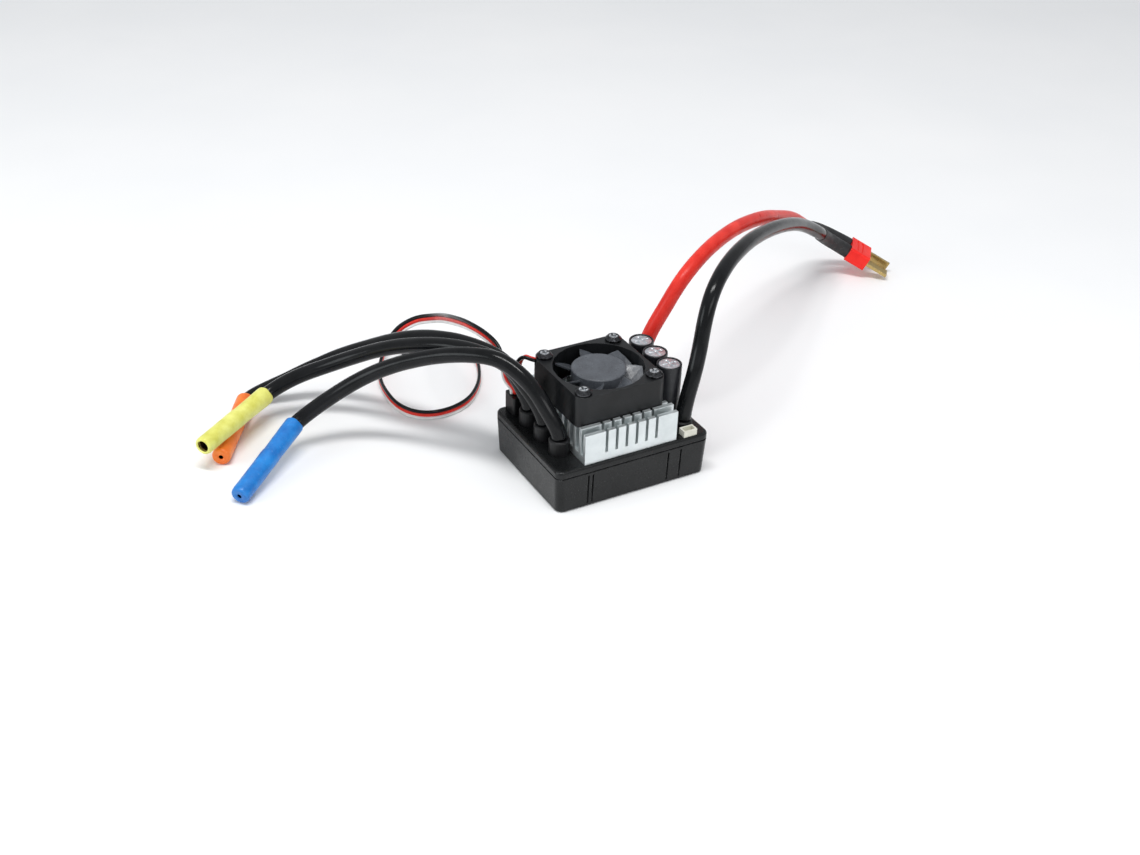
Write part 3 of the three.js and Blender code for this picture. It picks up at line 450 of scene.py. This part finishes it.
def even(line, spacing):
    """The same line with its points the same distance apart."""
    total = length_of(line)
    count = max(2, round(total / spacing))
    made, travelled, i = [line[0].copy()], 0.0, 0
    for k in range(1, count):
        target = total * k / count
        while travelled + (line[i + 1] - line[i]).length < target:
            travelled += (line[i + 1] - line[i]).length
            i += 1
        share = (target - travelled) / (line[i + 1] - line[i]).length
        made.append(line[i].lerp(line[i + 1], share))
    made.append(line[-1].copy())
    return made


def length_of(line):
    return sum((b - a).length for a, b in zip(line, line[1:]))


def headings(line):
    """The direction of the line at each of its points."""
    ends = [line[0], *line, line[-1]]
    return [(ends[i + 2] - ends[i]).normalized() for i in range(len(line))]


def carried_sides(line):
    """A sideways direction at each point that turns as little as it can along the line."""
    ahead = headings(line)
    side = ahead[0].orthogonal().normalized()
    made = []
    for heading in ahead:
        side = (side - side.dot(heading) * heading).normalized()
        made.append(side)
    return made


STRAIGHT_RUN = 1.6  # how far a lead runs straight out of its exit and into its end, mm


def routed(start, points, end, towards):
    """A lead's points: straight up out of its exit, and at its end straight towards a point."""
    start, end, towards = Vector(start), Vector(end), Vector(towards)
    arrival = (towards - end).normalized() * STRAIGHT_RUN
    departure = Vector((0, 0, STRAIGHT_RUN))
    return [start, start + departure, *map(Vector, points), end - arrival, end]


# ---- meshes ----

def linked(name, work, materials):
    """A finished bmesh as an object in the scene."""
    mesh = bpy.data.meshes.new(name)
    work.to_mesh(mesh)
    work.free()
    for material in materials:
        mesh.materials.append(material)
    piece = bpy.data.objects.new(name, mesh)
    bpy.context.scene.collection.objects.link(piece)
    return piece


def stand_in(piece, node):
    """Fixes a finer mesh to the housing in place of its CAD node."""
    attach(piece, "housing")
    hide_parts(node)


def sweep(name, line, outline, sides, materials, tints=None):
    """A closed tube: outline(i) gives ring i as (across, along side) pairs in metres.

    tints gives the material's number for each stretch of the outline.
    """
    work = bmesh.new()
    rings = []
    for i, (point, heading, side) in enumerate(zip(line, headings(line), sides)):
        other = heading.cross(side)
        rings.append([work.verts.new(point + u * side + v * other) for u, v in outline(i)])
    count = len(rings[0])
    for a, b in zip(rings, rings[1:]):
        for k in range(count):
            n = (k + 1) % count
            face = work.faces.new((a[k], a[n], b[n], b[k]))
            face.smooth = True
            face.material_index = tints[k] if tints else 0
    work.faces.new(rings[0][::-1])
    work.faces.new(rings[-1])
    bmesh.ops.recalc_face_normals(work, faces=work.faces)
    return linked(name, work, materials)


def circle(radius, count):
    """Points round the origin, as the outline of a sweep."""
    return [
        (radius * math.cos(math.tau * k / count), radius * math.sin(math.tau * k / count))
        for k in range(count)
    ]


SWELLS_PER_METRE = 160
SWELL_SHIFT = 5000  # gives leads of different radius different swells


def tube(name, line, radius, material, count, unevenness=0.0):
    """A round lead; unevenness is how far its surface wanders, in metres."""
    shift = Vector((0, 0, radius * SWELL_SHIFT))

    def outline(i):
        swell = noise.noise(line[i] * SWELLS_PER_METRE + shift)
        return circle(radius + unevenness * swell, count)

    return sweep(name, line, outline, carried_sides(line), [material])


def lathe(name, base, axis, profile, material, count, wander, loop=False):
    """Turns a profile of (along, radius) in mm about an axis.

    wander(place, out, radius) gives a point's own shift along and out, in mm. The ends are
    closed with a face each, or joined to each other where loop is true.
    """
    side = axis.orthogonal().normalized()
    other = axis.cross(side)
    work = bmesh.new()
    rings = []
    for along, radius in profile:
        ring = []
        for k in range(count):
            turn = math.tau * k / count
            out = math.cos(turn) * side + math.sin(turn) * other
            lift, swell = wander(base + axis * (along * MM), out, radius)
            ring.append(work.verts.new(
                base + axis * ((along + lift) * MM) + out * ((radius + swell) * MM)
            ))
        rings.append(ring)
    for a, b in zip(rings, rings[1:] + (rings[:1] if loop else [])):
        for k in range(count):
            n = (k + 1) % count
            work.faces.new((a[k], a[n], b[n], b[k])).smooth = True
    if not loop:
        work.faces.new(rings[0])
        work.faces.new(rings[-1][::-1])
    bmesh.ops.recalc_face_normals(work, faces=work.faces)
    return linked(name, work, [material])


def denser(profile, step):
    """The same profile with a point at least every `step` mm."""
    made = []
    for (a, ra), (b, rb) in zip(profile, profile[1:]):
        steps = max(1, math.ceil(math.hypot(b - a, rb - ra) / step))
        made += [(a + (b - a) * k / steps, ra + (rb - ra) * k / steps) for k in range(steps)]
    return made + [profile[-1]]


def clamped(value):
    return max(0.0, min(1.0, value))


# ---- power and motor wires ----

# Each lead: its exit over the gland, the points of its route, its end and, for a motor lead, the
# far end of its sleeve. They repeat part.mjs, in mm.
MOTOR_ROUTES = {
    "blue": (
        (-20.2, -9.9, 19.6),
        [(-22.3, -7.4, 26.5), (-23.7, -4.8, 30.6), (-25.5, -1.4, 34.3), (-27.5, 2.2, 37),
         (-30.9, 7.8, 39.5), (-35, 12.8, 39.4), (-39.1, 17.9, 38.2), (-43.2, 23.1, 36.2),
         (-47.4, 28.4, 33.5), (-52.7, 34.6, 29.6), (-58.5, 40, 25.2), (-63.7, 43.4, 21.2),
         (-69.4, 45.9, 17), (-75.9, 47.4, 12.7)],
        (-82.8, 46.8, 8.8), (-106.9, 26.6, 2.95),
    ),
    "yellow": (
        (-20.2, -0.5, 19.6),
        [(-21.8, 1.3, 25.6), (-23.5, 4, 29.5), (-25.2, 7.3, 33.1), (-27.5, 11.2, 35.8),
         (-30.6, 15.1, 36.8), (-34.5, 20.7, 37.3), (-38.3, 26.6, 36.5), (-42.1, 32.9, 34.8),
         (-47.8, 42.9, 30.7), (-53, 50.8, 26.4), (-58.9, 57.5, 21.8), (-65.6, 62.6, 17.8),
         (-72.2, 66, 14.8), (-78, 67.6, 12.2)],
        (-85.2, 67.2, 9.2), (-109.1, 49, 9.1),
    ),
    "orange": (
        (-20.2, 9, 19.6),
        [(-21.3, 10.6, 24.6), (-22.5, 12.6, 28.2), (-23.8, 15.2, 31.4), (-25.7, 18.1, 33.7),
         (-29.8, 23.4, 35.3), (-33.8, 29.2, 35.7), (-37.6, 35.5, 34.7), (-41.3, 42.3, 32.6),
         (-45.1, 49.4, 29.3), (-48.6, 55.7, 25.6), (-53, 62, 21.5), (-57.7, 67.2, 17.9),
         (-63.4, 71.6, 13.9), (-69.4, 74.6, 10.5), (-74.8, 76.4, 7.7), (-80.5, 78.4, 5.1)],
        (-88.6, 76.4, 3.2), (-105.3, 49.1, 2.95),
    ),
}
# The middle of the plug's rear and a point straight ahead of it, in mm.
PLUG_REAR = Vector((152.9, 73.5, 9.9))
PLUG_AIM = Vector((164.8, 63.25, 2.07))
BATTERY_ROUTES = {
    "negative": (
        (21.2, -13.1, 16.6),
        [(22.8, -12.4, 24), (25.2, -11.5, 31), (28, -9.3, 37.5), (29.9, -8, 46), (33.9, -5.1, 53),
         (41.7, 0.5, 57), (55.9, 11, 57), (77.7, 27.8, 51), (102.2, 46.2, 41), (117.1, 56.7, 33),
         (130.2, 64.2, 24.5), (136.7, 69.5, 19.7), (142.4, 72.4, 15.7)],
        Vector((150.9, 71.2, 9.9)),
    ),
    "positive": (
        (22.4, 17.2, 16.6),
        [(24.9, 16.4, 26.5), (26.4, 15.8, 31.5), (30.6, 15.5, 38.5), (36.3, 15.6, 47),
         (47.2, 20.3, 52), (64.4, 30.1, 52.5), (85.4, 43.3, 47.5), (102.5, 55.3, 40),
         (117.5, 65.2, 32.5), (131, 72.8, 23.3), (138.1, 76.9, 19.5), (144.5, 78.8, 16)],
        Vector((154.9, 75.8, 9.9)),
    ),
}
WIRE_RADIUS = 2.4 * MM
WIRE_SIDES = 32
WIRE_UNEVENNESS = 0.03 * MM
SOCKET_GAP = 0.3  # from a motor wire's end to the zero of its sleeve's profile, mm
SLEEVE_SIDES = 44
SLEEVE_SKIN = 2.45  # what lies outside this radius is lumpy, mm
SLEEVE_LUMP = 0.06
SLEEVE_LUMPS_PER_METRE = 260
SLEEVE_MOUTHS = {"blue": 0.7, "yellow": 1.8, "orange": 0.7}  # radius of the open end, mm
SHRINK_LENGTH = 27 * MM
SHRINK_RADIUS = 2.47
SHRINK_LIP = 0.16  # the film is this much thinner where it starts
SHRINK_LIP_RINGS = 4
SHRINK_PINCH = 0.07
PINCHES_PER_METRE = 230
SHRINK_SIDES = 36


def power_wire(node, line, material, slot):
    """A thick silicone lead."""
    wire = tube(f"{node}.jacket", line, WIRE_RADIUS, material, WIRE_SIDES, WIRE_UNEVENNESS)
    stand_in(wire, node)
    return wire


def film_sleeve(name, mouth, axis, material, opening):
    """Insulating tube over a connector: loose lip on the wire, a crease half way, curled-in end."""
    lip = [(0.9, 2.42), (0.7, 2.66), (-1.2, 2.78), (-1.5, 2.88), (-1.3, 3.0), (-0.6, 3.03)]
    over_wire = [(3, 2.98), (8, 2.9), (12, 2.85)]
    crease = [(12.8, 2.84), (13.4, 2.95), (14.4, 2.98)]
    over_socket = [(18, 2.94), (24, 2.92), (30, 2.9)]
    curled_end = [
        (31.1, 2.86), (31.6, 2.7), (31.9, 2.4), (31.95, 2.0), (31.9, opening + 0.18),
        (31.75, opening), (31.5, opening + 0.05), (31.35, opening + 0.3),
    ]
    bore = [(31.3, 2.36), (17.8, 2.36)]
    profile = lip + over_wire + crease + over_socket + curled_end + bore

    def uneven(place, out, radius):
        lumps = noise.noise(place * SLEEVE_LUMPS_PER_METRE + out * 1.3)
        return 0, SLEEVE_LUMP * lumps * (radius > SLEEVE_SKIN)

    return lathe(name, mouth, axis, denser(profile, 0.7), material, SLEEVE_SIDES, uneven)


def plug_film(name, line):
    """Shrink tube on the end of a battery wire: its edge thins out, its surface is pinched."""
    def outline(i):
        lip = min(1.0, i / SHRINK_LIP_RINGS)
        pinch = noise.noise(line[i] * PINCHES_PER_METRE) * SHRINK_PINCH
        return circle((SHRINK_RADIUS + SHRINK_LIP * lip + pinch * lip) * MM, SHRINK_SIDES)

    return sweep(name, line, outline, carried_sides(line), [black_film])


def motor_leads():
    films = {"blue": blue_film, "yellow": yellow_film, "orange": orange_film}
    for i, (colour, (start, points, end, towards)) in enumerate(MOTOR_ROUTES.items(), 1):
        line = spline(routed(start, points, end, towards))
        wire = power_wire(f"motor_wire_{i}", line, black_jacket, "black_silicone")
        heading = (Vector(towards) - Vector(end)).normalized()
        mouth = (Vector(end) + SOCKET_GAP * heading) * MM
        sleeve = film_sleeve(
            f"sleeve_{colour}.film", mouth, heading, films[colour], SLEEVE_MOUTHS[colour]
        )
        stand_in(sleeve, f"sleeve_{colour}")


def battery_leads():
    arrival = (PLUG_AIM - PLUG_REAR).normalized()
    finishes = {
        "negative": (black_jacket, "black_silicone"),
        "positive": (red_jacket, "red_silicone"),
    }
    for pole, (start, points, end) in BATTERY_ROUTES.items():
        line = spline(routed(start, points, end, end + arrival))
        wire = power_wire(f"battery_wire_{pole}", line, *finishes[pole])
        covered = round(SHRINK_LENGTH / (length_of(line) / (len(line) - 1)))
        film = plug_film(f"plug_shrink_{pole}.film", line[-covered:])
        stand_in(film, f"plug_shrink_{pole}")


motor_leads()
battery_leads()


# ---- capacitors ----

# Sizes in mm.
SLEEVE_WALL = 0.28
FILM_RIPPLE = 0.03
RIPPLES_PER_METRE = 300
CAN_CLEARANCE = 0.34  # from the sleeve's outside to the can's side
CAN_DROP = 0.3  # the can's rim is this far under the sleeve's top
SHOULDER_RADIUS = 3.22  # where the rounded shoulder meets the top
TOP_RADIUS = 3.15  # the widest of the rings across the top
TOP_STEP = 0.09
CROSS_REACH = 2.5
CROSS_FADE = 0.3
CROSS_HALF_WIDTH = 0.5
CROSS_SLOPE = 0.24
CROSS_DEPTH = 0.26
DOME_RADIUS = 3.3
DOME_HEIGHT = 0.16
PRESSED_RADIUS = 3.2  # the top inside this radius is domed and pressed
TOP_RINGS = 35
FILM_SIDES = 48
CAN_SIDES = 96


def rolled_sleeve(outer, tall):
    """Profile of a film sleeve, with its top rolled inwards over the can's shoulder."""
    wall = [(0, outer - SLEEVE_WALL), (0, outer), (tall - 0.5, outer)]
    roll = [
        (tall - 0.2, outer - 0.04), (tall - 0.05, outer - 0.16), (tall, outer - 0.32),
        (tall - 0.03, outer - 0.5), (tall - 0.14, outer - 0.6), (tall - 0.26, outer - 0.56),
        (tall - 0.42, outer - 0.36), (tall - 0.6, outer - SLEEVE_WALL),
    ]
    return denser(wall + roll, 0.9)


def drawn_can(body, tall):
    """Profile of a can: its side, its rounded shoulder and rings across its top."""
    shoulder = [
        (tall - 0.75, body), (tall - 0.45, body - 0.1), (tall - 0.16, body - 0.24),
        (tall - 0.02, SHOULDER_RADIUS),
    ]
    top = [(tall, TOP_RADIUS - TOP_STEP * k) for k in range(TOP_RINGS)]
    return [(0, body), *shoulder, *top]


def uneven_film(place, out, radius):
    return 0, FILM_RIPPLE * noise.noise(place * RIPPLES_PER_METRE + out)


def pressed_cross(place, out, radius):
    """Lifts a can's top to a low dome and sinks two crossing grooves into it."""
    if radius >= PRESSED_RADIUS:
        return 0, 0
    arm = min(abs(radius * out.x), abs(radius * out.y))
    inside = clamped((CROSS_REACH - radius) / CROSS_FADE)
    groove = clamped((CROSS_HALF_WIDTH - arm) / CROSS_SLOPE) * inside
    dome = DOME_HEIGHT * max(0.0, 1 - (radius / DOME_RADIUS) ** 2)
    return dome - CROSS_DEPTH * groove, 0


def capacitors():
    """Each capacitor as a drawn can with a pressed cross, in a sleeve shrunk over its shoulder."""
    up = Vector((0, 0, 1))
    for i in (1, 2, 3):
        low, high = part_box(f"capacitor_sleeve_{i}")
        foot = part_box(f"capacitor_can_{i}")[0].z
        centre = (low + high) / 2
        outer = (high.x - low.x) / 2 / MM
        sleeve = lathe(
            f"capacitor_sleeve_{i}.film", Vector((centre.x, centre.y, low.z)), up,
            rolled_sleeve(outer, (high.z - low.z) / MM),
            SLOT_LOOKS["can_sleeve"], FILM_SIDES, uneven_film, loop=True,
        )
        stand_in(sleeve, f"capacitor_sleeve_{i}")
        can = lathe(
            f"capacitor_can_{i}.can", Vector((centre.x, centre.y, foot)), up,
            drawn_can(outer - CAN_CLEARANCE, (high.z - foot) / MM - CAN_DROP),
            SLOT_LOOKS["can_aluminium"], CAN_SIDES, pressed_cross,
        )
        stand_in(can, f"capacitor_can_{i}")


capacitors()


# ---- receiver lead and fan leads ----

RECEIVER_ROUTE = routed(
    (-21.3, 16.4, 20.8),
    [(-23.2, 18, 25), (-23.2, 21.3, 29.7), (-23, 25.4, 33), (-24.3, 30.6, 34.6),
     (-25.8, 38.9, 34.4), (-25, 53.9, 29.3), (-21.2, 78.5, 17.2), (-24.2, 86.1, 13.2),
     (-28.6, 89.7, 9), (-33.2, 89.3, 4.4), (-38.8, 82.3, 2.2), (-43, 73.1, 1.8),
     (-44.8, 63.8, 1.8), (-44.5, 53.8, 1.8), (-41.8, 47.9, 1.8), (-37.6, 44.8, 1.8),
     (-30.7, 44.2, 1.8), (-22.8, 47.2, 1.8), (-14.9, 55.6, 1.8), (-9.3, 67.8, 1.8),
     (-8, 75, 1.8), (-10.5, 80.5, 1.8)],
    (-15.5, 83.2, 1.8), (-29, 86.9, 1.8),
)
CORE_PITCH = 1.12 * MM
CORE_RADIUS = 0.58 * MM
ARC_STEPS = 8
STEEP = 0.3  # under this level share of its heading, the ribbon keeps its last level direction
EASING_RINGS = 12
TWIST_START, TWIST_END = 15 * MM, 3 * MM  # before the plug
FAN_LEAD_RADIUS = 0.55 * MM
FAN_LEAD_SIDES = 16
FAN_ROUTES = {
    "red": [(-16.2, 13.3, 33.2), (-17.6, 14, 33.7), (-18.4, 15.3, 33.8), (-18.9, 16.9, 32),
            (-19.1, 18.2, 28.5), (-19.5, 19, 24.5), (-19.8, 19.2, 20.8)],
    "black": [(-16.2, 11.9, 33.2), (-18, 12.6, 33.9), (-19.6, 14.2, 34.3), (-20.3, 16.2, 32.6),
              (-20.5, 17.9, 29.2), (-20.9, 19, 24.8), (-21.3, 19.2, 20.8)],
}


def ribbon_sides(line):
    """The ribbon stands on edge all the way, and turns flat just before its plug."""
    ahead = headings(line)
    flats = [Vector((heading.x, heading.y, 0)) for heading in ahead]
    level = next(flat.normalized() for flat in flats if flat.length > STEEP)
    upright = []
    for heading, flat in zip(ahead, flats):
        if flat.length > STEEP:
            level = flat.normalized()
        upright.append(Vector((0, 0, 1)) * flat.length - level * heading.z)
    sides = []
    left = length_of(line)
    for i, heading in enumerate(ahead):
        mean = sum(upright[max(0, i - EASING_RINGS): i + EASING_RINGS + 1], Vector())
        side = (mean - mean.dot(heading) * heading).normalized()
        twist = clamped((TWIST_START - left) / (TWIST_START - TWIST_END))
        twist = twist * twist * (3 - 2 * twist) * math.pi / 2
        sides.append(Matrix.Rotation(twist, 3, heading) @ side)
        left -= length_of(line[i:i + 2])
    return sides


def ribbon_outline():
    """Three round cores side by side, joined by thin necks, and the tint of each stretch."""
    neck = math.asin(math.sqrt(CORE_RADIUS ** 2 - (CORE_PITCH / 2) ** 2) / CORE_RADIUS)
    ring, tints = [], []
    for half in (1, -1):
        for core in (-half, 0, half):
            start = math.pi - (0 if core == -half else neck)
            stop = 0 if core == half else neck
            for k in range(1, ARC_STEPS + 1):
                turn = start + (stop - start) * k / ARC_STEPS
                ring.append((
                    core * CORE_PITCH + half * CORE_RADIUS * math.cos(turn),
                    half * CORE_RADIUS * math.sin(turn),
                ))
                tints.append(core + 1)
    return ring, tints


def receiver_lead():
    line = spline(RECEIVER_ROUTE, spacing=0.5, ease=1.2)
    ring, tints = ribbon_outline()
    piece = sweep(
        "receiver_lead.ribbon", line, lambda i: ring, ribbon_sides(line),
        [white_jacket, red_jacket, black_jacket], tints,
    )
    stand_in(piece, "receiver_lead")


def fan_leads():
    jackets = {"red": red_jacket, "black": black_jacket}
    for colour, route in FAN_ROUTES.items():
        line = spline(route, spacing=0.25, ease=0.4)
        lead = tube(
            f"fan_lead_{colour}.jacket", line, FAN_LEAD_RADIUS, jackets[colour], FAN_LEAD_SIDES
        )
        stand_in(lead, f"fan_lead_{colour}")


receiver_lead()
fan_leads()


# ---- floor and light ----

FLOOR_REACH = 3.0  # from the middle to each side


def add_floor():
    """A wide pale sheet that stands under the whole object."""
    work = bmesh.new()
    bmesh.ops.create_grid(work, x_segments=12, y_segments=12, size=FLOOR_REACH)
    linked("floor", work, [floor_material()])


WORLD_COLOUR = (0.95, 0.97, 1.0, 1)
WORLD_STRENGTH = 0.56


def add_light(name, place, target, width, depth, power, colour=(1, 1, 1)):
    """A rectangular panel that faces the target."""
    data = bpy.data.lights.new(name, "AREA")
    data.shape = "RECTANGLE"
    data.size, data.size_y = width, depth
    data.energy = power
    data.color = colour
    light = bpy.data.objects.new(name, data)
    light.location = place
    light.rotation_mode = "QUATERNION"
    light.rotation_quaternion = (Vector(target) - Vector(place)).to_track_quat("-Z", "Y")
    bpy.context.scene.collection.objects.link(light)


def add_world():
    """Even, slightly cool light from all round."""
    world = bpy.data.worlds.new("studio")
    world.use_nodes = True
    background = world.node_tree.nodes["Background"]
    background.inputs["Color"].default_value = WORLD_COLOUR
    background.inputs["Strength"].default_value = WORLD_STRENGTH
    bpy.context.scene.world = world


add_floor()
add_world()
add_light(
    "top_strip", place=(-0.12, -0.12, 0.85), target=(0, 0.03, 0.02),
    width=0.5, depth=0.14, power=4.6,
)
add_light(
    "left_panel", place=(-0.75, 0.05, 0.3), target=(0, 0.02, 0.02),
    width=0.4, depth=0.3, power=1.3, colour=(0.92, 0.98, 1.0),
)
add_light(
    "front_panel", place=(0.15, -0.8, 0.45), target=(0, 0, 0.02),
    width=0.5, depth=0.25, power=1.2,
)
bpy.context.scene.view_settings.view_transform = "Standard"
